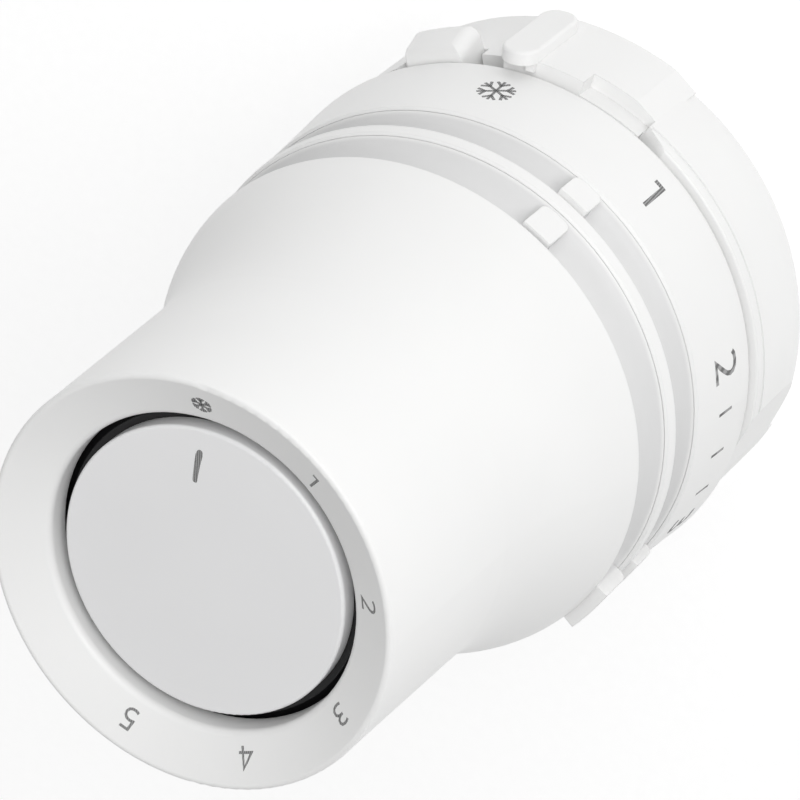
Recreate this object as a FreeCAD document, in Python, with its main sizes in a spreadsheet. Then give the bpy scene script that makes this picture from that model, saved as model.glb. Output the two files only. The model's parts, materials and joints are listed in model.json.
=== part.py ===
import FreeCAD, Part
import Sketcher
import math
import os

# Thermostatic radiator valve head: a fixed base that clicks on to a valve's neck, a rotating handle
# with numbers, and the temperature sensor inside it.
# Millimetres.  +Z runs along the axis and out of the front, and the origin is the centre of the
# valve socket's mouth, on the rear face.  +Y points to the index tab, where the handle shows frost.

SIZES = {
    # rear collar and its click-fit lock
    "socket_radius": 10.15, "socket_depth": 12.2, "tube_radius": 12.6,
    "floor_bottom": 12.0, "floor_top": 14.2, "floor_radius": 21.4,
    "journal_bore": 19.3, "journal_radius": 21.1, "journal_top": 18.5,
    "journal_groove_radius": 20.3, "journal_groove_bottom": 16.5, "journal_groove_top": 17.9,
    "guide_bore": 3.2, "guide_radius": 5.0, "guide_top": 20.0,
    "jaw_window_half": 2.4, "jaw_window_bottom": 4.8, "jaw_window_height": 3.8,
    "jaw_count": 3, "jaw_angle": 30,
    "post_radius": 1.8, "post_circle": 15.2, "post_bottom": 0.4, "post_hole_radius": 1.86,
    "collar_radius": 26.8, "collar_inner": 23.5, "collar_rear_radius": 24.15, "collar_barrel": 7.5,
    "collar_barrel_radius": 9.55, "collar_rear_edge": 0.9, "collar_wall": 1.8, "collar_wall_bore": 12.7,
    "collar_rim": 13.5, "collar_front": 14.8, "collar_rim_radius": 26.68, "collar_rim_edge": 0.2,
    "low_radius": 25.43, "low_rear": 0.8, "low_centre": 214.35, "low_span": 241.3,
    "flat_reach": 25.5, "flat_half": 14.0, "flat_angle": -23,
    "window_front": 11.45, "window_centre": 129.4, "window_span": 71.4,
    "slot_bottom": 9.9, "slot_centre": 113.4, "slot_span": 21.6,
    "sector_radius": 27.3, "sector_bottom": 4.2, "sector_left_x": 0.476, "sector_left_y": 27.296,
    "sector_right_x": 11.104, "sector_right_y": 24.94, "ramp_foot_x": 13.375, "ramp_foot_y": 23.166,
    "ramp_inner_x": 11.8, "ramp_inner_y": 20.438, "sector_inner_x": 0.412, "sector_inner_y": 23.596,
    "pocket_radius": 25.84, "pocket_floor": 12.57, "pocket_centre": 68.4, "pocket_span": 15.2,
    "wedge_angle": 58, "wedge_half_width": 1.4, "wedge_foot": 13.7,
    "tab_outer": 28.5, "tab_inner": 27.1, "tab_half_width": 1.85, "tab_bottom": 5.3, "tab_top": 16.4,
    "stem_inner": 24.4, "stem_half_width": 1.7, "stem_bottom": 5.8, "stem_top": 13.2,
    "rib_left": 0.8, "rib_right": 1.7, "rib_inner": 26.3, "rib_top": 15.3,
    # locking ring and jaws
    "ring_inner": 17.6, "ring_outer": 23.2, "ring_bottom": 2.1, "ring_top": 10.8,
    "cam_radius": 18.35, "cam_floor_half": 8.6, "cam_ramp_half": 11.6,
    "ear_root": 20.5, "ear_bottom": 10.2, "ear_front": 14.7, "ear_front_radius": 27.15,
    "ear_crest": 28.0, "ear_crest_level": 11.4, "ear_neck_radius": 25.7,
    "ear_centre": 110.0, "ear_span": 13.0, "ear_end_round": 1.3,
    "jaw_inner": 10.25, "jaw_outer": 18.0, "jaw_half": 2.2, "jaw_tip_half": 1.5,
    "jaw_bottom": 5.0, "jaw_height": 3.4, "jaw_lead": 0.8,
    "spring_ring_radius": 19.4, "spring_ring_level": 11.42, "lock_wire": 0.4, "lock_wire_span": 325,
    # handle
    "lip_radius": 19.75, "lip_level": 73.6, "lip_crest_radius": 19.165, "lip_crest": 73.954,
    "lip_round": 0.4,
    "funnel_foot_radius": 15.533, "funnel_foot": 72.053, "funnel_round": 0.9,
    "funnel_inner": 15.05, "funnel_level": 71.255, "funnel_back": 69.3,
    "neck_front_radius": 19.8, "neck_front": 70.0, "neck_rear_radius": 20.1, "neck_rear": 53.5,
    "flare_radius": 35.0142, "flare_end_radius": 23.773, "flare_end": 38.5133, "shoulder_radius": 7.3967,
    "bell_radius": 24.54, "bell_rear": 35.6,
    "sleeve_inner": 21.2, "sleeve_outer": 22.3, "sleeve_rear": 15.4, "nut_seat": 36.0,
    "nut_bore_radius": 19.6, "neck_step": 52.0, "neck_bore": 17.4,
    "clip_groove_radius": 21.95, "clip_groove_bottom": 16.7, "clip_groove_top": 17.7,
    "clip_inner": 20.45, "clip_outer": 21.9, "clip_bottom": 16.75, "clip_top": 17.65, "clip_gap": 40,
    "nut_inner": 17.2, "nut_outer": 19.55, "nut_bottom": 36.1, "nut_top": 50.0,
    "thread_root": 18.2, "thread_first": 38.0, "thread_pitch": 2.6, "thread_half": 0.7, "thread_crest_half": 0.3,
    "thread_count": 5,
    "crest_front": 30.75, "crest_rear": 29.05, "crest_front_radius": 24.95, "crest_rear_radius": 25.1,
    "crest_edge": 0.25,
    "scale_front": 25.05, "scale_front_radius": 25.25, "scale_rear": 15.0, "scale_rear_radius": 26.0,
    "scale_edge": 0.3,
    # limiter rings
    "limit_bore": 22.4, "front_floor": 23.0, "front_limit_top": 35.45, "front_limit_bottom": 30.8,
    "front_flare": 3.4, "front_flare_radius": 24.7, "front_flare_curve": 4.0,
    "rear_floor": 23.2, "rear_limit_top": 28.95, "rear_limit_bottom": 25.1, "rear_flare": 2.9,
    "rear_flare_radius": 25.0, "rear_flare_curve": 3.4,
    "nub_angle": 59.5, "nub_span": 7.3, "nub_corner": 0.8,
    "grip_angle": -36, "grip_span": 12, "grip_radius": 25.8,
    "front_nub_radius": 24.75, "front_nub_bottom": 31.25, "rear_nub_radius": 25.5,
    "rear_nub_bottom": 25.6, "nub_round": 0.9,
    # sensor cage and front disc
    "cage_inner": 15.2, "cage_outer": 16.4, "cage_foot_radius": 19.0, "cage_foot_top": 15.6,
    "cage_shoulder": 67.6, "cage_neck_radius": 14.45, "cage_top": 69.5,
    "cage_plate_bottom": 68.2, "cage_plate_hole": 11.0,
    "key_slot_half": 2.5, "key_slot_bottom": 35.8, "key_slot_height": 10.6, "key_count": 3,
    "vent_half": 3.5, "vent_bottom": 49.0, "vent_height": 17.5, "vent_count": 6,
    "disc_radius": 13.8, "disc_bottom": 69.55, "disc_top": 71.35, "disc_edge": 0.3,
    "disc_peg_radius": 10.7, "disc_peg_inner": 9.6, "disc_peg_bottom": 67.9,
    # sensor
    "carriage_outer": 14.9, "carriage_inner": 13.1, "carriage_bottom": 36.4, "carriage_plate": 38.0,
    "carriage_hole": 5.6, "carriage_top": 60.0, "ledge_inner": 11.6, "ledge_bottom": 45.0,
    "ledge_top": 46.0, "key_reach": 16.9, "key_half": 2.2, "key_bottom": 36.9, "key_height": 4.0,
    "can_outer": 13.0, "can_inner": 12.5, "can_bottom": 46.05, "can_top": 62.0,
    "can_foot_inner": 10.4, "can_foot": 46.6,
    "cap_top": 63.0, "cap_hole": 0.85, "fill_outer": 0.8, "fill_inner": 0.45, "fill_top": 65.0,
    "fill_bottom": 61.95,
    "bellows_inner": 6.4, "bellows_outer": 9.8, "bellows_bottom": 46.5, "bellows_top": 61.9,
    "bellows_folds": 7, "bellows_wall": 0.25,
    "thrust_radius": 9.0, "thrust_plate": 45.2, "thrust_top": 46.4, "stem_outer": 5.2, "stem_bore": 4.2,
    "stem_roof": 44.0, "stem_base": 25.9,
    "keeper_inner": 3.1, "keeper_top": 26.9,
    "pin_radius": 2.9, "pin_tip": 12.3, "pin_head_radius": 3.9, "pin_head_bottom": 27.1,
    "pin_head_top": 28.6, "pin_edge": 0.5,
    "over_radius": 3.1, "over_wire": 0.45, "over_bottom": 28.65, "over_top": 43.9, "over_turns": 7.5,
    "return_radius": 7.2, "return_wire": 0.5, "return_bottom": 38.05, "return_top": 45.1,
    "return_turns": 4.5,
}

doc = FreeCAD.newDocument("radiator_valve_head")
sheet = doc.addObject("Spreadsheet::Sheet", "Dims")
for row, (alias, number) in enumerate(SIZES.items(), 1):
    sheet.set(f"A{row}", alias)
    sheet.set(f"B{row}", str(number))
    sheet.setAlias(f"B{row}", alias)
doc.recompute()

NODES = []


def value(total):
    """The number that a sum of sheet names and numbers stands for, such as "lip_top - 0.5"."""
    answer, sign = 0.0, 1.0
    for word in total.split():
        if word in "+-":
            sign = 1.0 if word == "+" else -1.0
        else:
            answer += sign * (float(word) if word[0].isdigit() else float(sheet.get(word)))
    return answer


def formula(total):
    """The same sum as an expression on the sheet."""
    return " ".join(w if w in "+-" or w[0].isdigit() else f"Dims.{w}" for w in total.split())


def new_body(label):
    body = doc.addObject("PartDesign::Body", label)
    body.Label = label
    NODES.append(body)
    return body


def plane(body, role):
    return next(f for f in body.Origin.OriginFeatures if f.Role == role)


def new_sketch(body, name, role="XZ_Plane", turn=0.0, lift=None, spin_axis=(0, 1, 0)):
    """A sketch on an origin plane, turned about the vertical or lifted along the plane's normal."""
    sketch = body.newObject("Sketcher::SketchObject", f"{body.Name}_{name}")
    sketch.AttachmentSupport = [(plane(body, role), "")]
    sketch.MapMode = "FlatFace"
    spin = FreeCAD.Rotation(FreeCAD.Vector(*spin_axis), turn)
    sketch.AttachmentOffset = FreeCAD.Placement(FreeCAD.Vector(0, 0, 0), spin)
    if lift:
        sketch.setExpression("AttachmentOffset.Base.z", formula(lift))
    return sketch


def hold(sketch, kind, geo, pos, total):
    """Ties one coordinate of a point to the sheet."""
    flip = value(total) < 0
    size = abs(value(total))
    if size < 1e-9:
        axis = -2 if kind == "DistanceX" else -1
        sketch.addConstraint(Sketcher.Constraint("PointOnObject", geo, pos, axis))
        return
    ends = (geo, pos, -1, 1) if flip else (-1, 1, geo, pos)
    index = sketch.addConstraint(Sketcher.Constraint(kind, *ends, size))
    text = f"-({formula(total)})" if flip else formula(total)
    sketch.setExpression(f"Constraints[{index}]", text)


def outline(sketch, corners):
    """A closed outline.  A corner is (x, y), or (x, y, radius, side) where the edge that leaves it
    is an arc with its centre on that side of the way to the next corner."""
    points = [FreeCAD.Vector(value(c[0]), value(c[1]), 0) for c in corners]
    ends = []
    for i, corner in enumerate(corners):
        start, stop = points[i], points[(i + 1) % len(points)]
        if len(corner) == 2:
            geo = sketch.addGeometry(Part.LineSegment(start, stop), False)
            ends.append((geo, 1, 2))
            continue
        radius = value(corner[2])
        chord = stop - start
        rise = math.sqrt(max(radius ** 2 - (chord.Length / 2) ** 2, 0))
        left = FreeCAD.Vector(-chord.y, chord.x, 0).normalize()
        centre = (start + stop) * 0.5 + left * (rise if corner[3] == "left" else -rise)
        first, last = (start, stop) if corner[3] == "left" else (stop, start)
        angles = [math.atan2(p.y - centre.y, p.x - centre.x) for p in (first, last)]
        if angles[1] < angles[0]:
            angles[1] += 2 * math.pi
        arc = Part.ArcOfCircle(Part.Circle(centre, FreeCAD.Vector(0, 0, 1), radius), *angles)
        geo = sketch.addGeometry(arc, False)
        if rise < 1e-6:
            hold(sketch, "DistanceY", geo, 3, corner[1])
        else:
            index = sketch.addConstraint(Sketcher.Constraint("Radius", geo, radius))
            sketch.setExpression(f"Constraints[{index}]", formula(corner[2]))
        ends.append((geo, 1, 2) if corner[3] == "left" else (geo, 2, 1))
    for i, (geo, start, stop) in enumerate(ends):
        after, begin, _ = ends[(i + 1) % len(ends)]
        sketch.addConstraint(Sketcher.Constraint("Coincident", geo, stop, after, begin))
        hold(sketch, "DistanceX", geo, start, corners[i][0])
        hold(sketch, "DistanceY", geo, start, corners[i][1])
    return sketch


def ring_of(sketch, radius, x="0", y="0"):
    """A circle in a sketch, its centre and radius tied to the sheet."""
    centre = FreeCAD.Vector(value(x), value(y), 0)
    geo = sketch.addGeometry(Part.Circle(centre, FreeCAD.Vector(0, 0, 1), value(radius)), False)
    index = sketch.addConstraint(Sketcher.Constraint("Radius", geo, value(radius)))
    sketch.setExpression(f"Constraints[{index}]", formula(radius))
    hold(sketch, "DistanceX", geo, 3, x)
    hold(sketch, "DistanceY", geo, 3, y)
    return sketch


def feature(body, kind, name, sketch, **settings):
    """Adds a feature, and makes sure that it changed the solid the way its kind should."""
    before = body.Shape.Volume if body.Tip else 0.0
    made = body.newObject(f"PartDesign::{kind}", f"{body.Name}_{name}")
    made.Profile = sketch
    if kind in ("Revolution", "Groove"):
        made.ReferenceAxis = (sketch, ["V_Axis"])
    for key, setting in settings.items():
        if isinstance(setting, str) and key in ("Length", "Angle"):
            made.setExpression(key, formula(setting))
        else:
            setattr(made, key, setting)
    sketch.Visibility = False
    doc.recompute()
    change = body.Shape.Volume - before
    cuts = kind in ("Groove", "Pocket")
    if (cuts and change > -1e-6) or (not cuts and change < 1e-6):
        raise RuntimeError(f"{body.Label} {name}: volume changed by {change}")
    return made


def turned(body, name, corners, cut=False):
    sketch = outline(new_sketch(body, name + "_profile"), corners)
    return feature(body, "Groove" if cut else "Revolution", name, sketch, Angle=360.0)


def sector(body, name, corners, centre, span, cut=False):
    """Part of a turned shape: a profile swept by an angle about the axis, centred on a direction."""
    sketch = outline(new_sketch(body, name + "_profile", turn=value(centre)), corners)
    kind = "Groove" if cut else "Revolution"
    return feature(body, kind, name, sketch, Angle=span, Midplane=True)


def box_corners(left, right, bottom, top):
    return [(left, bottom), (right, bottom), (right, top), (left, top)]


def around(body, originals, count):
    """Repeats features evenly about the axis."""
    before = body.Shape.Volume
    pattern = body.newObject("PartDesign::PolarPattern", f"{body.Name}_{originals[0].Name[-6:]}_set")
    pattern.Originals = originals
    pattern.Axis = (plane(body, "Z_Axis"), [""])
    pattern.Angle = 360
    pattern.setExpression("Occurrences", formula(count))
    body.Tip = pattern
    doc.recompute()
    if abs(body.Shape.Volume - before) < 1e-6:
        raise RuntimeError(f"{body.Label}: the pattern changed nothing")
    return pattern


def eased(body, kind, name, size, wanted):
    """A fillet or a chamfer on the edges that a test picks."""
    tip = body.Tip
    names = [f"Edge{i}" for i, edge in enumerate(tip.Shape.Edges, 1) if wanted(edge)]
    if not names:
        raise RuntimeError(f"{body.Label} {name}: no edge to ease")
    made = body.newObject(f"PartDesign::{kind}", f"{body.Name}_{name}")
    made.Base = (tip, names)
    made.setExpression("Radius" if kind == "Fillet" else "Size", formula(size))
    doc.recompute()
    if abs(body.Shape.Volume - tip.Shape.Volume) < 1e-6 or not body.Shape.isValid():
        raise RuntimeError(f"{body.Label} {name}: the edges stayed as they were")
    return made


def polar(point):
    return math.hypot(point.x, point.y), math.degrees(math.atan2(point.y, point.x)) % 360


def coil(label, radius, wire, bottom, top, turns):
    """A compression spring: a round wire swept along a helix, between two levels."""
    body = new_body(label)
    sketch = ring_of(new_sketch(body, "wire"), wire, x=radius, y=f"{bottom} + {wire}")
    helix = body.newObject("PartDesign::AdditiveHelix", f"{label}_helix")
    helix.Profile = sketch
    helix.ReferenceAxis = (sketch, ["V_Axis"])
    helix.Mode = "height-turns-angle"
    helix.setExpression("Height", formula(f"{top} - {bottom} - {wire} - {wire}"))
    helix.setExpression("Turns", formula(turns))
    doc.recompute()
    return body


# ---- base body: socket tube, floor, journal for the handle and guide for the pressure pin
base = new_body("base_body")
turned(base, "shell", [
    ("socket_radius", "0"), ("tube_radius", "0"), ("tube_radius", "floor_bottom"),
    ("floor_radius", "floor_bottom"), ("floor_radius", "floor_top"), ("journal_radius", "floor_top"),
    ("journal_radius", "journal_groove_bottom"), ("journal_groove_radius", "journal_groove_bottom"),
    ("journal_groove_radius", "journal_groove_top"), ("journal_radius", "journal_groove_top"),
    ("journal_radius", "journal_top"), ("journal_bore", "journal_top"), ("journal_bore", "floor_top"),
    ("guide_radius", "floor_top"), ("guide_radius", "guide_top"), ("guide_bore", "guide_top"),
    ("guide_bore", "socket_depth"), ("socket_radius", "socket_depth")])
window_sketch = new_sketch(base, "jaw_window", "YZ_Plane", turn=value("jaw_angle"))
outline(window_sketch, box_corners("0 - jaw_window_half", "jaw_window_half", "jaw_window_bottom",
                                   "jaw_window_bottom + jaw_window_height"))
window = feature(base, "Pocket", "jaw_opening", window_sketch, Length="tube_radius + 1",
                 Reversed=True)
around(base, [window], "jaw_count")
post_sketch = ring_of(new_sketch(base, "post", "XY_Plane", lift="post_bottom", turn=90.0,
                                 spin_axis=(0, 0, 1)), "post_radius", x="post_circle")
post = feature(base, "Pad", "post_pin", post_sketch, Length="floor_bottom - post_bottom + 0.2")
around(base, [post], "jaw_count")

# ---- rear collar: barrel-backed shell with the index tab, the lug and the release-ear window
collar = new_body("rear_collar")
turned(collar, "shell", [
    ("collar_wall_bore", "0"), ("collar_rear_radius - collar_rear_edge", "0"),
    ("collar_rear_radius", "collar_rear_edge", "collar_barrel_radius", "left"),
    ("collar_radius", "collar_barrel"), ("collar_radius", "collar_rim"),
    ("collar_rim_radius", "collar_rim"), ("collar_rim_radius", "collar_front - collar_rim_edge"),
    ("collar_rim_radius - collar_rim_edge", "collar_front"), ("collar_inner", "collar_front"),
    ("collar_inner", "collar_wall"), ("collar_wall_bore", "collar_wall")])
raised_sketch = new_sketch(collar, "raised_sector", "XY_Plane", lift="sector_bottom")
outline(raised_sketch, [
    ("sector_right_x", "sector_right_y", "sector_radius", "left"), ("sector_left_x", "sector_left_y"),
    ("sector_inner_x", "sector_inner_y", "collar_inner + 0.1", "right"), ("ramp_inner_x", "ramp_inner_y"),
    ("ramp_foot_x", "ramp_foot_y")])
feature(collar, "Pad", "raised_sector_pad", raised_sketch, Length="collar_front - sector_bottom")
sector(collar, "front_pocket", box_corners("pocket_radius", "collar_radius + 2", "pocket_floor",
                                           "collar_front + 1"), "pocket_centre", "pocket_span", cut=True)
wedge_sketch = new_sketch(collar, "wedge", "YZ_Plane", turn=value("wedge_angle"))
outline(wedge_sketch, [
    ("wedge_half_width", "wedge_foot"), ("wedge_half_width", "collar_front + 1"),
    ("0 - wedge_half_width", "collar_front + 1"), ("0 - wedge_half_width", "collar_front")])
feature(collar, "Pocket", "wedge_cut", wedge_sketch, Length="collar_radius + 2", Reversed=True)
flat_sketch = new_sketch(collar, "flat", "XY_Plane", turn=value("flat_angle"), spin_axis=(0, 0, 1))
outline(flat_sketch, box_corners("flat_reach", "collar_radius + 4", "0 - flat_half", "flat_half"))
feature(collar, "Pocket", "flat_side", flat_sketch, Length="collar_front + 1", Reversed=True)
sector(collar, "low_side", box_corners("low_radius", "collar_radius + 2", "low_rear",
                                       "collar_front + 1"), "low_centre", "low_span", cut=True)
sector(collar, "low_band", box_corners("collar_inner", "low_radius", "low_rear",
                                       "window_front"), "low_centre", "low_span")
sector(collar, "ear_window", box_corners("collar_inner - 1", "collar_radius + 2", "window_front",
                                         "collar_front + 1"), "window_centre", "window_span", cut=True)
sector(collar, "ear_slot", box_corners("collar_inner - 1", "collar_radius + 2", "slot_bottom",
                                       "collar_front + 1"), "slot_centre", "slot_span", cut=True)
stem_sketch = new_sketch(collar, "stem", "XZ_Plane", lift="0 - stem_inner")
outline(stem_sketch, box_corners("0 - stem_half_width", "stem_half_width", "stem_bottom", "stem_top"))
feature(collar, "Pad", "stem_pad", stem_sketch, Length="tab_inner - stem_inner + 0.1", Reversed=True)
rib_sketch = new_sketch(collar, "rib", "XZ_Plane", lift="0 - rib_inner")
outline(rib_sketch, box_corners("rib_left", "rib_right", "stem_top - 0.5", "rib_top"))
feature(collar, "Pad", "rib_pad", rib_sketch, Length="tab_inner - rib_inner + 0.1", Reversed=True)
tab_sketch = new_sketch(collar, "tab", "XZ_Plane", lift="0 - tab_inner")
outline(tab_sketch, [
    ("tab_half_width", "tab_bottom + tab_half_width"),
    ("tab_half_width", "tab_top - tab_half_width", "tab_half_width", "left"),
    ("0 - tab_half_width", "tab_top - tab_half_width"),
    ("0 - tab_half_width", "tab_bottom + tab_half_width", "tab_half_width", "left")])
feature(collar, "Pad", "index_tab", tab_sketch, Length="tab_outer - tab_inner", Reversed=True)
hole_sketch = ring_of(new_sketch(collar, "post_hole", "XY_Plane", turn=90.0, spin_axis=(0, 0, 1)),
                      "post_hole_radius", x="post_circle")
hole = feature(collar, "Pocket", "post_hole_cut", hole_sketch, Length="collar_wall", Reversed=True)
around(collar, [hole], "jaw_count")

# ---- locking ring with its release ear, and the jaws that its cams push inwards
lock = new_body("lock_ring")
turned(lock, "annulus", box_corners("ring_inner", "ring_outer", "ring_bottom", "ring_top"))
cam_a = sector(lock, "cam_floor", box_corners("ring_inner - 1", "cam_radius", "ring_bottom - 1",
                                              "ring_top + 1"), "jaw_angle",
               "cam_floor_half + cam_floor_half", cut=True)
cam_b = sector(lock, "cam_ramp", box_corners("ring_inner - 1", "cam_radius - 0.35", "ring_bottom - 1",
                                             "ring_top + 1"), "jaw_angle", "cam_ramp_half + cam_ramp_half",
               cut=True)
around(lock, [cam_a, cam_b], "jaw_count")
sector(lock, "ear", [
    ("ear_root", "ear_bottom"), ("ear_neck_radius", "ear_bottom"), ("ear_crest", "ear_crest_level - 0.6"),
    ("ear_crest", "ear_crest_level"), ("ear_front_radius", "ear_front"), ("ear_root + 3", "ear_front"),
    ("ear_root + 2", "ring_top + 0.2"), ("ear_root", "ring_top - 0.2")], "ear_centre", "ear_span")
for number in range(3):
    jaw = new_body(f"lock_jaw_{number + 1}")
    direction = value("jaw_angle") + 120 * number
    sketch = new_sketch(jaw, "blank", "XY_Plane", lift="jaw_bottom", turn=direction, spin_axis=(0, 0, 1))
    outline(sketch, [
        ("jaw_inner", "0 - jaw_tip_half"), ("jaw_inner + jaw_lead", "0 - jaw_half"),
        ("jaw_outer", "0 - jaw_half"), ("jaw_outer", "jaw_half"), ("jaw_inner + jaw_lead", "jaw_half"),
        ("jaw_inner", "jaw_tip_half")])
    feature(jaw, "Pad", "block", sketch, Length="jaw_height")
wire = new_body("lock_spring")
wire_sketch = ring_of(new_sketch(wire, "section", turn=280.0), "lock_wire", x="spring_ring_radius",
                      y="spring_ring_level")
feature(wire, "Revolution", "loop", wire_sketch, Angle="lock_wire_span", Midplane=True)

# ---- handle: lip, funnel, neck, flared shoulder and the sleeve that turns on the base's journal
handle = new_body("handle_shell")
turned(handle, "shell", [
    ("sleeve_inner", "sleeve_rear"), ("sleeve_outer", "sleeve_rear"), ("sleeve_outer", "bell_rear"),
    ("bell_radius - 0.35", "bell_rear", "0.4", "left"),
    ("bell_radius", "bell_rear + 0.3", "shoulder_radius", "left"),
    ("flare_end_radius", "flare_end", "flare_radius", "right"), ("neck_rear_radius", "neck_rear"),
    ("neck_front_radius", "neck_front"), ("lip_radius", "lip_level", "lip_round", "left"),
    ("lip_crest_radius", "lip_crest"), ("funnel_foot_radius", "funnel_foot", "funnel_round", "left"),
    ("funnel_inner", "funnel_level"),
    ("funnel_inner", "funnel_back"), ("neck_bore", "funnel_back - 1"), ("neck_bore", "neck_step"),
    ("nut_bore_radius", "neck_step - 2"), ("nut_bore_radius", "nut_seat"),
    ("sleeve_inner", "nut_seat"), ("sleeve_inner", "clip_groove_top"),
    ("clip_groove_radius", "clip_groove_top"), ("clip_groove_radius", "clip_groove_bottom"),
    ("sleeve_inner", "clip_groove_bottom")])
clip = new_body("retaining_clip")
clip_sketch = outline(new_sketch(clip, "section", turn=200.0),
                      box_corners("clip_inner", "clip_outer", "clip_bottom", "clip_top"))
feature(clip, "Revolution", "loop", clip_sketch, Angle="360 - clip_gap", Midplane=True)
nut = new_body("setting_nut")
turned(nut, "sleeve", box_corners("nut_inner", "nut_outer", "nut_bottom", "nut_top"))
for turn_number in range(int(value("thread_count"))):
    level = value("thread_first") + turn_number * value("thread_pitch")
    turned(nut, f"thread_{turn_number + 1}", [
        ("nut_inner - 0.2", f"{level} - thread_half"), ("thread_root", f"{level} - thread_crest_half"),
        ("thread_root", f"{level} + thread_crest_half"), ("nut_inner - 0.2", f"{level} + thread_half")],
        cut=True)
crest = new_body("ridge_ring")
turned(crest, "ring", [
    ("sleeve_outer", "crest_rear"), ("crest_rear_radius - crest_edge", "crest_rear"),
    ("crest_rear_radius", "crest_rear + crest_edge"), ("crest_front_radius", "crest_front - crest_edge"),
    ("crest_front_radius - crest_edge", "crest_front"), ("sleeve_outer", "crest_front")])
scale = new_body("scale_ring")
turned(scale, "band", [
    ("sleeve_outer", "scale_rear"), ("scale_rear_radius - scale_edge", "scale_rear"),
    ("scale_rear_radius", "scale_rear + scale_edge"), ("scale_front_radius", "scale_front - scale_edge"),
    ("scale_front_radius - scale_edge", "scale_front"), ("sleeve_outer", "scale_front")])

# ---- limiter rings: a flared channel with a nub and a wider grip each
for which, floor_r in (("front", "front_floor"), ("rear", "rear_floor")):
    ring = new_body(f"limit_ring_{which}")
    top, bottom = f"{which}_limit_top", f"{which}_limit_bottom"
    turned(ring, "channel", [
        ("limit_bore", bottom), (f"{which}_flare_radius", bottom, f"{which}_flare_curve", "right"),
        (floor_r, f"{bottom} + {which}_flare"), (floor_r, top), ("limit_bore", top)])
    sector(ring, "nub", box_corners(f"{floor_r} - 0.3", f"{which}_nub_radius", f"{which}_nub_bottom", top),
           "nub_angle", "nub_span")
    eased(ring, "Fillet", "nub_corners", "nub_corner", lambda e: (
        e.BoundBox.ZLength < 1e-6 and e.Length < 3 and isinstance(e.Curve, Part.Line)
        and abs(e.BoundBox.ZMin - value(f"{which}_nub_bottom")) < 1e-3))
    sector(ring, "grip", [
        (f"{floor_r} - 0.3", f"{which}_nub_bottom"),
        ("grip_radius - nub_round", f"{which}_nub_bottom", "nub_round", "left"),
        ("grip_radius", f"{which}_nub_bottom + nub_round"), ("grip_radius", top),
        (f"{floor_r} - 0.3", top)], "grip_angle", "grip_span")

# ---- sensor cage with its front disc
cage = new_body("sensor_cage")
turned(cage, "tube", [
    ("cage_inner", "floor_top"), ("cage_foot_radius", "floor_top"), ("cage_foot_radius", "cage_foot_top"),
    ("cage_outer", "cage_foot_top"), ("cage_outer", "cage_shoulder"),
    ("cage_neck_radius", "cage_top - 0.5"), ("cage_neck_radius", "cage_top"),
    ("cage_plate_hole", "cage_top"),
    ("cage_plate_hole", "cage_plate_bottom"), ("cage_inner", "cage_plate_bottom")])
key_sketch = new_sketch(cage, "key_slot", "YZ_Plane", turn=90.0)
outline(key_sketch, box_corners("0 - key_slot_half", "key_slot_half", "key_slot_bottom",
                                "key_slot_bottom + key_slot_height"))
key = feature(cage, "Pocket", "key_way", key_sketch, Length="cage_outer + 1", Reversed=True)
around(cage, [key], "key_count")
vent_sketch = new_sketch(cage, "vent", "YZ_Plane", turn=60.0)
outline(vent_sketch, box_corners("0 - vent_half", "vent_half", "vent_bottom", "vent_bottom + vent_height"))
vent = feature(cage, "Pocket", "vent_cut", vent_sketch, Length="cage_outer + 1", Reversed=True)
around(cage, [vent], "vent_count")
disc = new_body("front_disc")
turned(disc, "plate", [
    ("0", "disc_bottom"), ("disc_peg_inner", "disc_bottom"), ("disc_peg_inner", "disc_peg_bottom"),
    ("disc_peg_radius", "disc_peg_bottom"), ("disc_peg_radius", "disc_bottom"),
    ("disc_radius", "disc_bottom"), ("disc_radius", "disc_top - disc_edge", "disc_edge", "left"),
    ("disc_radius - disc_edge", "disc_top"), ("0", "disc_top")])

# ---- sensor carriage and capsule
carriage = new_body("sensor_carriage")
turned(carriage, "sleeve", [
    ("carriage_hole", "carriage_bottom"), ("carriage_outer", "carriage_bottom"),
    ("carriage_outer", "carriage_top"), ("carriage_inner", "carriage_top"),
    ("carriage_inner", "ledge_top"), ("ledge_inner", "ledge_top"), ("ledge_inner", "ledge_bottom"),
    ("carriage_inner", "ledge_bottom"), ("carriage_inner", "carriage_plate"),
    ("carriage_hole", "carriage_plate")])
lug_sketch = new_sketch(carriage, "key", "XY_Plane", lift="key_bottom", turn=90.0, spin_axis=(0, 0, 1))
outline(lug_sketch, box_corners("carriage_inner + 0.6", "key_reach", "0 - key_half", "key_half"))
lug = feature(carriage, "Pad", "key_lug", lug_sketch, Length="key_height")
around(carriage, [lug], "key_count")
can = new_body("capsule_can")
turned(can, "cup", [
    ("can_foot_inner", "can_bottom"), ("can_outer", "can_bottom"), ("can_outer", "can_top"),
    ("can_inner", "can_top"), ("can_inner", "can_foot"), ("can_foot_inner", "can_foot")])
cap = new_body("capsule_cap")
turned(cap, "plate", box_corners("cap_hole", "can_outer", "can_top", "cap_top"))
fill = new_body("fill_tube")
turned(fill, "tube", [
    ("fill_inner", "fill_bottom"), ("fill_outer", "fill_bottom"), ("fill_outer", "fill_top - 0.6"),
    ("0.2", "fill_top"), ("0", "fill_top"), ("0", "fill_top - 1"), ("fill_inner", "fill_top - 1")])

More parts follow.
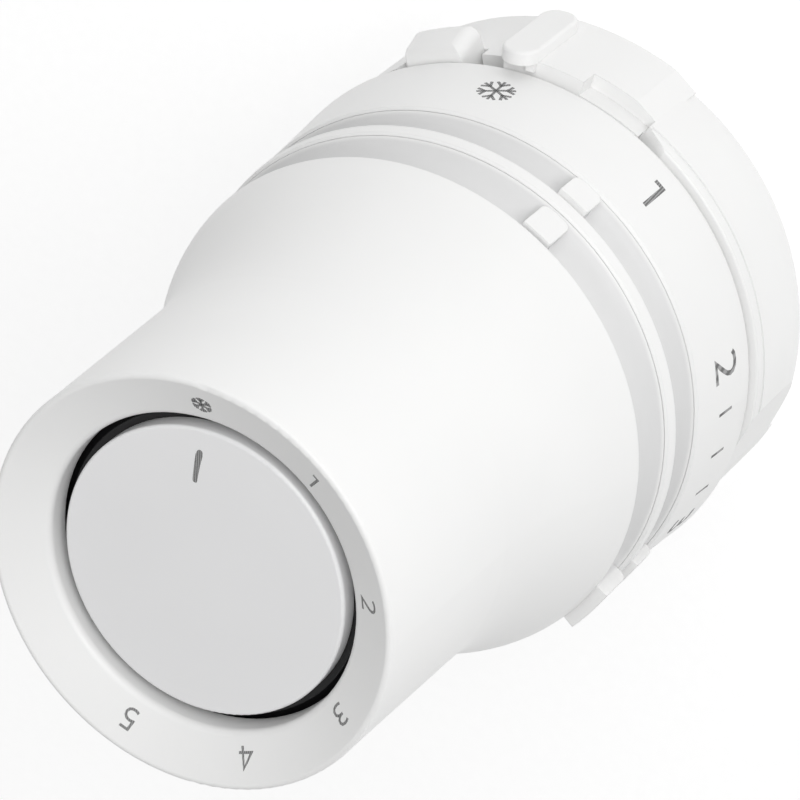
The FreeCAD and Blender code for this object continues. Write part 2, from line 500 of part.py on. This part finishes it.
# A folded metal bellows: thin corrugated wall with closed ends.
bellows = new_body("bellows")
folds = int(value("bellows_folds"))
low, high = value("bellows_bottom"), value("bellows_top")
step = (high - low) / (2 * folds)
outer_side, inner_side = [], []
for i in range(2 * folds + 1):
    level = low + i * step
    wide = i % 2 == 1
    radius = "bellows_outer" if wide else "bellows_inner"
    outer_side.append((radius, f"{level}"))
    inner_side.append((f"{radius} - bellows_wall - 0.1", f"{level}"))
inner_side[0] = ("bellows_inner - bellows_wall - 0.1", f"{low + 0.4}")
inner_side[-1] = ("bellows_inner - bellows_wall - 0.1", f"{high - 0.4}")
turned(bellows, "wall", [("0", "bellows_bottom")] + outer_side + [("0", "bellows_top")]
       + [("0", "bellows_top - 0.4")] + inner_side[::-1] + [("0", "bellows_bottom + 0.4")])

# ---- pressure train: thrust cup, overtravel spring and pressure pin
thrust = new_body("thrust_cup")
turned(thrust, "cup", [
    ("stem_bore", "stem_base"), ("stem_outer", "stem_base"), ("stem_outer", "thrust_plate"),
    ("thrust_radius", "thrust_plate"), ("thrust_radius", "thrust_top"), ("0", "thrust_top"),
    ("0", "stem_roof"), ("stem_bore", "stem_roof")])
keeper = new_body("stem_keeper")
turned(keeper, "washer", box_corners("keeper_inner", "stem_bore", "stem_base", "keeper_top"))
pin = new_body("pressure_pin")
turned(pin, "pin", [
    ("0", "pin_tip"), ("pin_radius - pin_edge", "pin_tip"), ("pin_radius", "pin_tip + pin_edge"),
    ("pin_radius", "pin_head_bottom"), ("pin_head_radius", "pin_head_bottom"),
    ("pin_head_radius", "pin_head_top"), ("0", "pin_head_top")])
coil("overtravel_spring", "over_radius", "over_wire", "over_bottom", "over_top", "over_turns")
coil("return_spring", "return_radius", "return_wire", "return_bottom", "return_top", "return_turns")

# ---- softened edges
eased(collar, "Fillet", "tab_edge", "0.35", lambda e: (
    abs(e.BoundBox.YMin - value("tab_outer")) < 1e-3 and abs(e.BoundBox.YMax - value("tab_outer")) < 1e-3))
eased(lock, "Fillet", "ear_end", "ear_end_round", lambda e: (
    e.BoundBox.ZMax > value("ear_front") - 1e-3 and e.Length < 8 and e.BoundBox.ZMin > 11.3
    and polar(e.CenterOfMass)[0] > 27 and polar(e.CenterOfMass)[1] < value("ear_centre")))

doc.recompute()
for thing in doc.Objects:
    if "Invalid" in thing.State or "Error" in thing.State:
        raise RuntimeError(f"{thing.Label} failed: {thing.State}")
os.makedirs("parts", exist_ok=True)
for body in NODES:
    if body.Shape.isNull() or not body.Shape.isValid() or not body.Shape.Solids:
        raise RuntimeError(f"{body.Label} has no valid solid")
for body in NODES:
    body.Shape.exportStep(f"parts/{body.Label}.step")
    box = body.Shape.BoundBox
    print(f"{body.Label:20s} solids {len(body.Shape.Solids)} volume {body.Shape.Volume:9.1f} "
          f"z {box.ZMin:6.2f} {box.ZMax:6.2f} x {box.XMin:6.2f} {box.XMax:6.2f}")
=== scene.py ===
import json
import math

import bmesh
import bpy
from mathutils import Matrix, Vector
from mathutils.bvhtree import BVHTree

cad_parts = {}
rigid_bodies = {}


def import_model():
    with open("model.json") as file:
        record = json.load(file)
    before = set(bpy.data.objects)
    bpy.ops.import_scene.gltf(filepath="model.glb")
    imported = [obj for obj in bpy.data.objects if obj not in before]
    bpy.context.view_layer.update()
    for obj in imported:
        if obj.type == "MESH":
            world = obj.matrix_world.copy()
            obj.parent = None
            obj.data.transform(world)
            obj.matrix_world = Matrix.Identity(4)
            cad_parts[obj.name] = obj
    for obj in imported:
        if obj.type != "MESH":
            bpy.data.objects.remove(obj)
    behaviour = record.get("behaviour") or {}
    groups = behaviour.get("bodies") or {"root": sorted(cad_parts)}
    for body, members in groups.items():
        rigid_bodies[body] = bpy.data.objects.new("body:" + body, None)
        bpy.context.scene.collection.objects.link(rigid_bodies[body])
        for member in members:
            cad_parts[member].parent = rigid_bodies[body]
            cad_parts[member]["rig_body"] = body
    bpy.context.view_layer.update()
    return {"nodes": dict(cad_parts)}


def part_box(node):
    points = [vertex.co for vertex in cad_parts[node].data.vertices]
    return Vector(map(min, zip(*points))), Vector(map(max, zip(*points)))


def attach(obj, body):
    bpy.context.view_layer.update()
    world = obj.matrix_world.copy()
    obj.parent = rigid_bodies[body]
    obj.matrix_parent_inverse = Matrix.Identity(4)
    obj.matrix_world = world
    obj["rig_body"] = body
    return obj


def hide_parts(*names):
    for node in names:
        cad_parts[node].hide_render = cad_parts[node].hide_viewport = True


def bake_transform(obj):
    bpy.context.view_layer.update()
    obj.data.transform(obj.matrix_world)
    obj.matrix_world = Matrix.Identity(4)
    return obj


# Looks of a thermostatic radiator valve head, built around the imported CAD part.
# Metres, in the part's own frame: +Z along the axis out of the front, +Y towards the index tab.
# Angles are in degrees about +Z from +X, except for the viewing directions, as direction() says.

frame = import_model()
nodes = frame["nodes"]
MM = 0.001


# ---- view ------------------------------------------------------------------------------------
CAMERA_AZIMUTH = 140.82
CAMERA_ELEVATION = 52.12
CAMERA_ROLL = 130.33
CAMERA_DISTANCE = 0.458
CAMERA_LENS = 225.0
CAMERA_AIM = Vector((-0.00014, 0.00033, 0.03495))
SENSOR_WIDTH = 36.0


def direction(azimuth, elevation):
    """Unit vector from the object towards a viewer; azimuth 0 looks along +Y and 90 along -X."""
    a, e = math.radians(azimuth), math.radians(elevation)
    return Vector((math.sin(a) * math.cos(e), -math.cos(a) * math.cos(e), math.sin(e)))


def upright(back):
    """Rotation whose Z is back and whose Y leans to world up."""
    right = Vector((0, 0, 1)).cross(back).normalized()
    return Matrix((right, back.cross(right), back)).transposed()


def add_camera():
    data = bpy.data.cameras.new("camera")
    data.lens = CAMERA_LENS
    data.sensor_width = SENSOR_WIDTH
    data.clip_start, data.clip_end = 0.01, 20.0
    camera = bpy.data.objects.new("camera", data)
    back = direction(CAMERA_AZIMUTH, CAMERA_ELEVATION)
    turn = upright(back) @ Matrix.Rotation(math.radians(-CAMERA_ROLL), 3, "Z")
    camera.matrix_world = Matrix.Translation(CAMERA_AIM + back * CAMERA_DISTANCE) @ turn.to_4x4()
    bpy.context.scene.collection.objects.link(camera)
    bpy.context.scene.camera = camera


# ---- studio ----------------------------------------------------------------------------------
# Each light's azimuth and elevation in degrees, its diameter and its watts.
LIGHTS = {
    "key": (125, 42, 0.4, 1.85),
    "side": (160, 40, 0.4, 0.88),
    "top": (125, 86, 0.5, 0.6),
}
LIGHT_DISTANCE = 0.7
LIGHT_AIM = Vector((0, 0, 0.035))
SKY_STRENGTH = 0.37
FLOOR_GLOW = 0.72
FLOOR_HALF_WIDTH = 3.0


def area_light(name, azimuth, elevation, diameter, watts):
    data = bpy.data.lights.new(name, "AREA")
    data.shape = "DISK"
    data.size = diameter
    data.energy = watts
    light = bpy.data.objects.new(name, data)
    back = direction(azimuth, elevation)
    light.matrix_world = Matrix.Translation(LIGHT_AIM + back * LIGHT_DISTANCE) @ upright(back).to_4x4()
    bpy.context.scene.collection.objects.link(light)


def add_studio():
    scene = bpy.context.scene
    world = bpy.data.worlds.new("studio")
    world.use_nodes = True
    world.node_tree.nodes["Background"].inputs["Color"].default_value = (1, 1, 1, 1)
    world.node_tree.nodes["Background"].inputs["Strength"].default_value = SKY_STRENGTH
    scene.world = world
    scene.view_settings.view_transform = "Standard"
    scene.view_settings.look = "None"

    for name, settings in LIGHTS.items():
        area_light(name, *settings)

    grid = bmesh.new()
    bmesh.ops.create_grid(grid, x_segments=8, y_segments=8, size=FLOOR_HALF_WIDTH)
    mesh = bpy.data.meshes.new("floor")
    grid.to_mesh(mesh)
    grid.free()
    floor = bpy.data.objects.new("floor", mesh)
    scene.collection.objects.link(floor)
    mesh.materials.append(floor_material())


def floor_material():
    """Pale paper sweep, lit evenly enough that it stays nearly white."""
    material, tree, shader = new_material("floor_paper")
    noise = texture(tree, "ShaderNodeTexNoise", Scale=900.0, Detail=3.0)
    ramp(tree, noise.outputs["Fac"], shader.inputs["Base Color"],
         (0.3, (0.34, 0.34, 0.34)), (0.7, (0.36, 0.36, 0.36)))
    shader.inputs["Roughness"].default_value = 0.9
    shader.inputs["Specular IOR Level"].default_value = 0.1
    shader.inputs["Emission Color"].default_value = (1, 1, 1, 1)
    shader.inputs["Emission Strength"].default_value = FLOOR_GLOW
    return material


# ---- materials ---------------------------------------------------------------------------------
WHITE = (0.86, 0.86, 0.855)
DISC_WHITE = (0.83, 0.83, 0.835)
# Grey painted into the limiter rings' channels: painted shade for the shadow that the grooves' walls cast.
PAINTED_CHANNEL_SHADE = (0.71, 0.71, 0.71)
PLASTIC_IOR = 1.5
METAL_MARKS = (4000.0, 4000.0, 9000.0)
# Length of one wave of a wave texture at scale 1, the spacing of the burnt lines, and the lines'
# share of the marking's shade, beside the specks.
WAVE_LENGTH = 0.314
BURN_PITCH = 0.2 * MM
LINE_SHARE = 0.65
# Radii between which each limiter ring turns from the painted shade in its channel, standing for the shadow
# of the groove's walls, to the crest's white.
RING_PAINTED_SHADE_RADII = {
    "limit_ring_front": (24.3 * MM, 24.72 * MM),
    "limit_ring_rear": (24.55 * MM, 25.05 * MM),
}


def new_material(name):
    """A material with its node tree and its shader."""
    material = bpy.data.materials.new(name)
    material.use_nodes = True
    tree = material.node_tree
    return material, tree, tree.nodes["Principled BSDF"]


def texture(tree, kind, place=None, **inputs):
    """A texture node on object coordinates, or on the output given as place."""
    node = tree.nodes.new(kind)
    if place is None:
        place = tree.nodes.new("ShaderNodeTexCoord").outputs["Object"]
    tree.links.new(place, node.inputs["Vector"])
    for name, number in inputs.items():
        node.inputs[name].default_value = number
    return node


def ramp(tree, source, target, *stops):
    """Colours a 0 to 1 texture: each of the two stops is a place on it and the colour there."""
    node = tree.nodes.new("ShaderNodeValToRGB")
    band = node.color_ramp
    for element, (place, colour) in zip(band.elements, stops):
        element.position = place
        element.color = (*colour, 1)
    tree.links.new(source, node.inputs["Fac"])
    tree.links.new(node.outputs["Color"], target)


def spread(tree, source, target, low, high):
    """Maps a 0 to 1 texture on to a range of a shader input."""
    node = tree.nodes.new("ShaderNodeMapRange")
    node.inputs["To Min"].default_value = low
    node.inputs["To Max"].default_value = high
    tree.links.new(source, node.inputs["Value"])
    tree.links.new(node.outputs["Result"], target)


def bump(tree, shader, source, height, edge=None):
    """Relief of the given height in metres, over edges softened to the given radius."""
    node = tree.nodes.new("ShaderNodeBump")
    node.inputs["Strength"].default_value = 1.0
    node.inputs["Distance"].default_value = height
    tree.links.new(source, node.inputs["Height"])
    if edge:
        soft = tree.nodes.new("ShaderNodeBevel")
        soft.samples = 4
        soft.inputs["Radius"].default_value = edge
        tree.links.new(soft.outputs["Normal"], node.inputs["Normal"])
    tree.links.new(node.outputs["Normal"], shader.inputs["Normal"])


def moulded(name, colour, roughness, grain=0.12 * MM, relief=0.0035 * MM, edge=0.12 * MM, tint=0.012):
    """Injection-moulded plastic: spark-eroded grain, faint flow variation in shade and gloss."""
    material, tree, shader = new_material(name)
    flow = texture(tree, "ShaderNodeTexNoise", Scale=60.0, Detail=2.0)
    low = tuple(max(0.0, c - tint) for c in colour)
    high = tuple(min(1.0, c + tint * 0.5) for c in colour)
    ramp(tree, flow.outputs["Fac"], shader.inputs["Base Color"], (0.3, low), (0.7, high))
    fine = texture(tree, "ShaderNodeTexNoise", Scale=1.0 / grain, Detail=2.0, Roughness=0.6)
    spread(tree, fine.outputs["Fac"], shader.inputs["Roughness"], roughness - 0.05, roughness + 0.05)
    bump(tree, shader, fine.outputs["Fac"], relief, edge)
    shader.inputs["IOR"].default_value = PLASTIC_IOR
    return material


def groove_painted_shade(name, crest, painted_grey, low_radius, high_radius, roughness):
    """Moulded plastic of a ring with painted shade: grey painted near the axis, where the channel lies in
    shade, and the crest's colour outside.
    """
    material = moulded(name, crest, roughness)
    tree = material.node_tree
    shader = next(n for n in tree.nodes if n.type == "BSDF_PRINCIPLED")
    crest_socket = shader.inputs["Base Color"].links[0].from_socket
    flat = tree.nodes.new("ShaderNodeVectorMath")
    flat.operation = "MULTIPLY"
    flat.inputs[1].default_value = (1, 1, 0)
    tree.links.new(tree.nodes.new("ShaderNodeTexCoord").outputs["Object"], flat.inputs[0])
    reach = tree.nodes.new("ShaderNodeVectorMath")
    reach.operation = "LENGTH"
    tree.links.new(flat.outputs["Vector"], reach.inputs[0])
    share = tree.nodes.new("ShaderNodeMapRange")
    share.interpolation_type = "SMOOTHSTEP"
    share.inputs["From Min"].default_value = low_radius
    share.inputs["From Max"].default_value = high_radius
    tree.links.new(reach.outputs["Value"], share.inputs["Value"])
    # Painted shade: the base colour goes grey towards the channel's floor.
    shade_mix = tree.nodes.new("ShaderNodeMix")
    shade_mix.data_type = "RGBA"
    tree.links.new(share.outputs["Result"], shade_mix.inputs["Factor"])
    shade_mix.inputs["A"].default_value = (*painted_grey, 1)
    tree.links.new(crest_socket, shade_mix.inputs["B"])
    tree.links.new(shade_mix.outputs["Result"], shader.inputs["Base Color"])
    return material


def metal(name, colour, roughness):
    """Drawn, turned or rolled metal, with fine marks squeezed along the axis."""
    material, tree, shader = new_material(name)
    stretch = tree.nodes.new("ShaderNodeMapping")
    stretch.inputs["Scale"].default_value = METAL_MARKS
    tree.links.new(tree.nodes.new("ShaderNodeTexCoord").outputs["Object"], stretch.inputs["Vector"])
    marks = texture(tree, "ShaderNodeTexNoise", stretch.outputs["Vector"], Scale=1.0, Detail=3.0)
    stain = texture(tree, "ShaderNodeTexNoise", Scale=180.0, Detail=2.0)
    low = tuple(c * 0.86 for c in colour)
    ramp(tree, stain.outputs["Fac"], shader.inputs["Base Color"], (0.3, low), (0.7, colour))
    spread(tree, marks.outputs["Fac"], shader.inputs["Roughness"], roughness - 0.08, roughness + 0.1)
    bump(tree, shader, marks.outputs["Fac"], 0.002 * MM)
    shader.inputs["Metallic"].default_value = 1.0
    return material


def marking(name, dark, light):
    """Laser marking: grey burnt lines laid side by side."""
    material, tree, shader = new_material(name)
    lines = texture(tree, "ShaderNodeTexWave", Scale=WAVE_LENGTH / BURN_PITCH, Distortion=1.2, Detail=1.0)
    lines.inputs["Detail Scale"].default_value = 4.0
    speck = texture(tree, "ShaderNodeTexNoise", Scale=9000.0, Detail=1.0)
    blend = tree.nodes.new("ShaderNodeMath")
    blend.operation = "MULTIPLY_ADD"
    blend.inputs[1].default_value = LINE_SHARE
    tree.links.new(lines.outputs["Fac"], blend.inputs[0])
    share = tree.nodes.new("ShaderNodeMath")
    share.operation = "MULTIPLY"
    share.inputs[1].default_value = 1 - LINE_SHARE
    tree.links.new(speck.outputs["Fac"], share.inputs[0])
    tree.links.new(share.outputs["Value"], blend.inputs[2])
    ramp(tree, blend.outputs["Value"], shader.inputs["Base Color"], (0.3, (dark,) * 3), (0.7, (light,) * 3))
    spread(tree, speck.outputs["Fac"], shader.inputs["Roughness"], 0.55, 0.75)
    bump(tree, shader, blend.outputs["Value"], 0.004 * MM)
    return material


MATERIALS = {
    "white_plastic": moulded("white_plastic_look", WHITE, 0.42),
    "collar_plastic": moulded("collar_plastic_look", WHITE, 0.45),
    "disc_plastic": moulded("disc_plastic_look", DISC_WHITE, 0.3, grain=0.1 * MM, relief=0.0015 * MM),
    "black_plastic": moulded("black_plastic_look", (0.012, 0.012, 0.013), 0.4, tint=0.004),
    "acetal": moulded("acetal_look", (0.72, 0.72, 0.69), 0.35),
    "spring_steel": metal("spring_steel_look", (0.62, 0.62, 0.63), 0.28),
    "brass": metal("brass_look", (0.78, 0.6, 0.28), 0.25),
    "tinplate": metal("tinplate_look", (0.72, 0.72, 0.71), 0.3),
    "bronze": metal("bronze_look", (0.74, 0.5, 0.3), 0.3),
}
MARK = marking("laser_mark_look", 0.13, 0.34)


def dress_nodes():
    """Gives every CAD node the look of its own material slot, and paints shade into the limiter rings'
    channels.
    """
    for node in nodes.values():
        for slot in node.material_slots:
            slot.material = MATERIALS[slot.material.name.split(".")[0]]
    # Painted shade: each limiter ring goes grey down in its channel.
    for name, (low, high) in RING_PAINTED_SHADE_RADII.items():
        look = groove_painted_shade(f"{name}_look", WHITE, PAINTED_CHANNEL_SHADE, low, high, 0.45)
        nodes[name].material_slots[0].material = look


# ---- marks -----------------------------------------------------------------------------------
MARK_THICKNESS = 0.05 * MM
MARK_PROUD = 0.015 * MM
STRIP = 0.25 * MM
SETTINGS = ("snow", "1", "2", "3", "4", "5")
FIRST_SETTING = 90.0
SETTING_STEP = 40.0
# Marks on the dial face have their tops outwards, up its slope, and those on the scale band have
# them towards the valve.  The lean is the slope, and the rest is the marks' middle.
FACE_LEAN = 27.6
FACE_RADIUS = 17.07 * MM
FACE_DROP = 1.14 * MM
BAND_LEAN = -85.73
BAND_RISE = 4.5 * MM
BAND_INSET = 0.335 * MM
POINTER_RADIUS = 10.2 * MM
POINTER_ANGLE = 95.8
# Heights, and the stroke's share of the height.
DIAL_HEIGHT, DIAL_BOLD = 2.1 * MM, 0.12
BAND_HEIGHT, BAND_BOLD = 3.8 * MM, 0.125
SNOW_HEIGHT, SNOW_BOLD = 3.9 * MM, 0.075
TICK_HEIGHT, TICK_BOLD = 2.3 * MM, 0.13
POINTER_HEIGHT, POINTER_BOLD = 3.2 * MM, 0.19

# Each glyph has its width and its strokes, one unit high from the baseline.  A stroke is a list of
# (x, y), with a third number where its width is scaled.
GLYPHS = {
    "1": (0.45, [[(0.0, 0.93), (0.27, 0.93), (0.27, 0.0)]]),
    "2": (0.68, [[(0.03, 0.86), (0.12, 0.92), (0.27, 0.945), (0.42, 0.92), (0.52, 0.83), (0.545, 0.7),
                  (0.5, 0.56), (0.4, 0.42), (0.24, 0.24), (0.07, 0.065), (0.64, 0.065)]]),
    "3": (0.66, [[(0.05, 0.88), (0.16, 0.925), (0.31, 0.935), (0.46, 0.89), (0.53, 0.78), (0.51, 0.65),
                  (0.4, 0.56), (0.27, 0.53)],
                 [(0.16, 0.53), (0.27, 0.53), (0.44, 0.49), (0.56, 0.38), (0.565, 0.22), (0.48, 0.11),
                  (0.32, 0.065), (0.16, 0.075), (0.04, 0.12)]]),
    "4": (0.72, [[(0.5, 0.0), (0.42, 0.94), (0.04, 0.28), (0.68, 0.28)]]),
    "5": (0.62, [[(0.53, 0.935), (0.14, 0.935), (0.1, 0.53), (0.26, 0.56), (0.42, 0.53), (0.54, 0.43),
                  (0.575, 0.29), (0.52, 0.15), (0.39, 0.075), (0.22, 0.065), (0.05, 0.12)]]),
    "tick": (0.0, [[(0.0, 0.0), (0.0, 1.0)]]),
}


def snowflake():
    """Six arms with a pair of twigs each, one unit across."""
    strokes = []
    for arm in range(6):
        turn = Matrix.Rotation(math.radians(60 * arm), 2)
        stem = [(0, 0.0), (0, 0.47)]
        twigs = [(-0.16, 0.42), (0, 0.26), (0.16, 0.42)]
        for points in (stem, twigs):
            turned = [turn @ Vector(p) for p in points]
            strokes.append([(p.x + 0.5, p.y + 0.5) for p in turned])
    return strokes


GLYPHS["snow"] = (1.0, snowflake())
GLYPHS["pointer"] = (0.23, [[(0.0, 0.0, 0.5), (0.006, 0.027, 0.75), (0.018, 0.08, 0.85), (0.193, 0.84, 1.0),
                             (0.216, 0.94, 0.8), (0.227, 0.985, 0.5), (0.23, 1.0, 0.2)]])


def ribbon(points, width):
    """Closed outline of a stroke, mitred at its corners and square at its ends.  A point's third
    number, where it has one, scales the width there."""
    spots = [Vector(p[:2]) for p in points]
    widths = [width * (p[2] if len(p) > 2 else 1.0) for p in points]
    left, right = [], []
    for i, spot in enumerate(spots):
        before = (spot - spots[i - 1]).normalized() if i else None
        after = (spots[i + 1] - spot).normalized() if i < len(spots) - 1 else None
        before, after = before or after, after or before
        side = Vector((-before.y - after.y, before.x + after.x)).normalized()
        reach = widths[i] / 2 / max(0.5, side.dot(Vector((-before.y, before.x))))
        left.append(spot + side * reach)
        right.append(spot - side * reach)
    return left + right[::-1]


def glyph_mesh(name, height, bold):
    """Flat solid of a glyph, centred on the origin, cut into strips so that it can be wrapped."""
    wide, strokes = GLYPHS[name]
    whole = bmesh.new()
    for stroke in strokes:
        placed = [((p[0] - wide / 2) * height, (p[1] - 0.5) * height, *p[2:]) for p in stroke]
        outline = ribbon(placed, bold * height)
        verts = [whole.verts.new((p.x, p.y, 0.0)) for p in outline]
        count = len(verts) // 2
        for i in range(count - 1):
            whole.faces.new((verts[i], verts[i + 1], verts[-i - 2], verts[-i - 1]))
    bmesh.ops.recalc_face_normals(whole, faces=whole.faces)
    downward = [f for f in whole.faces if f.normal.z < 0]
    bmesh.ops.reverse_faces(whole, faces=downward)
    reach = max(abs(v.co.x) for v in whole.verts)
    steps = int(reach / STRIP)
    for step in range(-steps, steps + 1):
        geometry = whole.verts[:] + whole.edges[:] + whole.faces[:]
        bmesh.ops.bisect_plane(whole, geom=geometry, plane_co=(step * STRIP, 0, 0), plane_no=(1, 0, 0))
    top = bmesh.ops.extrude_face_region(whole, geom=whole.faces[:])
    for v in (e for e in top["geom"] if isinstance(e, bmesh.types.BMVert)):
        v.co.z = MARK_THICKNESS
    return whole


def wrap_round(spot, surface, radius, level, lean, angle):
    """Lays a flat point on a node's surface: x runs clockwise round the axis, and y leans from the
    radius towards +Z by lean degrees.  z is kept as the height over the surface."""
    tilt = math.radians(lean)
    turn = math.radians(angle) - spot.x / radius
    along = Vector((math.cos(tilt) * math.cos(turn), math.cos(tilt) * math.sin(turn), math.sin(tilt)))
    out = Vector((-math.sin(tilt) * math.cos(turn), -math.sin(tilt) * math.sin(turn), math.cos(tilt)))
    centre = Vector((radius * math.cos(turn), radius * math.sin(turn), level))
    start = centre + along * spot.y + out * MM
    hit = surface.ray_cast(start, -out)[0]
    return hit + out * spot.z


def place_mark(glyph, label, node, height, bold, radius, level, lean, angle):
    """A glyph laid on a node and carried by its body."""
    flat = glyph_mesh(glyph, height, bold)
    surface = BVHTree.FromObject(nodes[node], bpy.context.evaluated_depsgraph_get())
    for v in flat.verts:
        v.co.z -= MARK_THICKNESS - MARK_PROUD
        v.co = wrap_round(v.co, surface, radius, level, lean, angle)
    bmesh.ops.recalc_face_normals(flat, faces=flat.faces)
    mesh = bpy.data.meshes.new(label)
    flat.to_mesh(mesh)
    flat.free()
    mesh.materials.append(MARK)
    piece = bpy.data.objects.new(label, mesh)
    bpy.context.scene.collection.objects.link(piece)
    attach(piece, nodes[node]["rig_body"])


def add_marks():
    """Numbers on the dial face and on the scale band, the fine scale, and the pointer on the disc."""
    face_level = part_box("handle_shell")[1].z - FACE_DROP
    band_low, band_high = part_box("scale_ring")
    band_level = band_low.z + BAND_RISE
    band_radius = band_high.x - BAND_INSET
    for i, glyph in enumerate(SETTINGS):
        angle = FIRST_SETTING - i * SETTING_STEP
        place_mark(glyph, f"dial_mark_{i}", "handle_shell", DIAL_HEIGHT, DIAL_BOLD, FACE_RADIUS, face_level,
                   FACE_LEAN, angle)
        height, bold = (SNOW_HEIGHT, SNOW_BOLD) if glyph == "snow" else (BAND_HEIGHT, BAND_BOLD)
        place_mark(glyph, f"band_mark_{i}", "scale_ring", height, bold, band_radius, band_level,
                   BAND_LEAN, angle)
    for i in range(2, len(SETTINGS) - 1):
        for tick in (1, 2, 3):
            angle = FIRST_SETTING - (i + tick / 4) * SETTING_STEP
            place_mark("tick", f"band_tick_{i}_{tick}", "scale_ring", TICK_HEIGHT, TICK_BOLD, band_radius,
                       band_level, BAND_LEAN, angle)
    disc_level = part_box("front_disc")[1].z
    place_mark("pointer", "disc_pointer", "front_disc", POINTER_HEIGHT, POINTER_BOLD, POINTER_RADIUS,
               disc_level, 0.0, POINTER_ANGLE)


# ---- bellows and springs -----------------------------------------------------------------------
BELLOWS_INNER = 6.4 * MM
BELLOWS_OUTER = 9.75 * MM
BELLOWS_WALL = 0.22 * MM
BELLOWS_FOLDS = 7
STEPS_PER_FOLD = 20
FOLD_FLATNESS = 1.6
# Mean radius of the coil, radius of its wire, and number of turns.
RETURN_COIL = (7.2 * MM, 0.48 * MM, 4.5)
OVERTRAVEL_COIL = (3.1 * MM, 0.43 * MM, 7.5)


def metal_piece(name, shape, slot):
    """A smooth-shaded piece with the look of the given slot."""
    bmesh.ops.recalc_face_normals(shape, faces=shape.faces)
    mesh = bpy.data.meshes.new(name)
    shape.to_mesh(mesh)
    shape.free()
    mesh.polygons.foreach_set("use_smooth", [True] * len(mesh.polygons))
    mesh.materials.append(MATERIALS[slot])
    piece = bpy.data.objects.new(name, mesh)
    bpy.context.scene.collection.objects.link(piece)
    return piece


def turned_mesh(profile, segments=96):
    """A closed outline of (radius, level) points turned about the axis; radius 0 is one point."""
    shape = bmesh.new()
    rings = []
    for radius, level in profile:
        if radius == 0:
            rings.append([shape.verts.new((0, 0, level))] * segments)
            continue
        angles = [2 * math.pi * k / segments for k in range(segments)]
        rings.append([shape.verts.new((radius * math.cos(a), radius * math.sin(a), level)) for a in angles])
    for one, two in zip(rings, rings[1:] + rings[:1]):
        for k in range(segments):
            after = (k + 1) % segments
            corners = tuple(dict.fromkeys((one[k], one[after], two[after], two[k])))
            if len(corners) > 2:
                shape.faces.new(corners)
    return shape


def bellows_mesh(low, high):
    """Thin hydroformed wall with round folds and a plate at each end."""
    middle, swing = (BELLOWS_OUTER + BELLOWS_INNER) / 2, (BELLOWS_OUTER - BELLOWS_INNER) / 2
    steps = STEPS_PER_FOLD * BELLOWS_FOLDS
    side = []
    for i in range(steps + 1):
        wave = -math.cos(2 * math.pi * i / STEPS_PER_FOLD)
        fold = math.tanh(FOLD_FLATNESS * wave) / math.tanh(FOLD_FLATNESS)
        side.append((middle + swing * fold, low + (high - low) * i / steps))
    plate = 1.6 * BELLOWS_WALL
    inside = [(radius - BELLOWS_WALL, min(max(level, low + plate), high - plate)) for radius, level in side]
    return turned_mesh([(0, low)] + side + [(0, high), (0, high - plate)] + inside[::-1] + [(0, low + plate)])


def coil_mesh(low, high, radius, wire, turns, sides=14, steps=48):
    """Round wire wound up the axis, with a closed turn at each end; steps are per turn."""
    rise = high - low - 2 * wire
    end_pitch = 2.05 * wire
    pitch = (rise - 2 * end_pitch) / (turns - 2)
    shape = bmesh.new()
    rings = []
    for i in range(int(turns * steps) + 1):
        turn = i / steps
        level = (low + wire + end_pitch * (min(turn, 1) + max(turn - turns + 1, 0))
                 + pitch * min(max(turn - 1, 0), turns - 2))
        angle = 2 * math.pi * turn
        out = Vector((math.cos(angle), math.sin(angle), 0))
        along = Vector((-out.y, out.x, pitch / (2 * math.pi * radius))).normalized()
        up = out.cross(along)
        centre = out * radius + Vector((0, 0, level))
        spokes = [2 * math.pi * k / sides for k in range(sides)]
        offsets = [(out * math.cos(a) + up * math.sin(a)) * wire for a in spokes]
        rings.append([shape.verts.new(centre + offset) for offset in offsets])
    for one, two in zip(rings, rings[1:]):
        for k in range(sides):
            after = (k + 1) % sides
            shape.faces.new((one[k], one[after], two[after], two[k]))
    shape.faces.new(rings[0])
    shape.faces.new(rings[-1])
    return shape


def add_moving_metal():
    """Bellows and springs built as fresh meshes in place of the CAD ones, which are hidden."""
    low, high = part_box("bellows")
    bellows = metal_piece("folded_bellows", bellows_mesh(low.z, high.z), "bronze")
    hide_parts("bellows")
    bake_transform(bellows)
    low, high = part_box("return_spring")
    coil = coil_mesh(low.z, high.z, *RETURN_COIL)
    spring = metal_piece("wound_return_spring", coil, "spring_steel")
    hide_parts("return_spring")
    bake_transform(spring)
    low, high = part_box("overtravel_spring")
    coil = coil_mesh(low.z, high.z, *OVERTRAVEL_COIL)
    spring = metal_piece("wound_overtravel_spring", coil, "spring_steel")
    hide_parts("overtravel_spring")
    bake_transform(spring)


add_camera()
add_studio()
dress_nodes()
add_marks()
add_moving_metal()
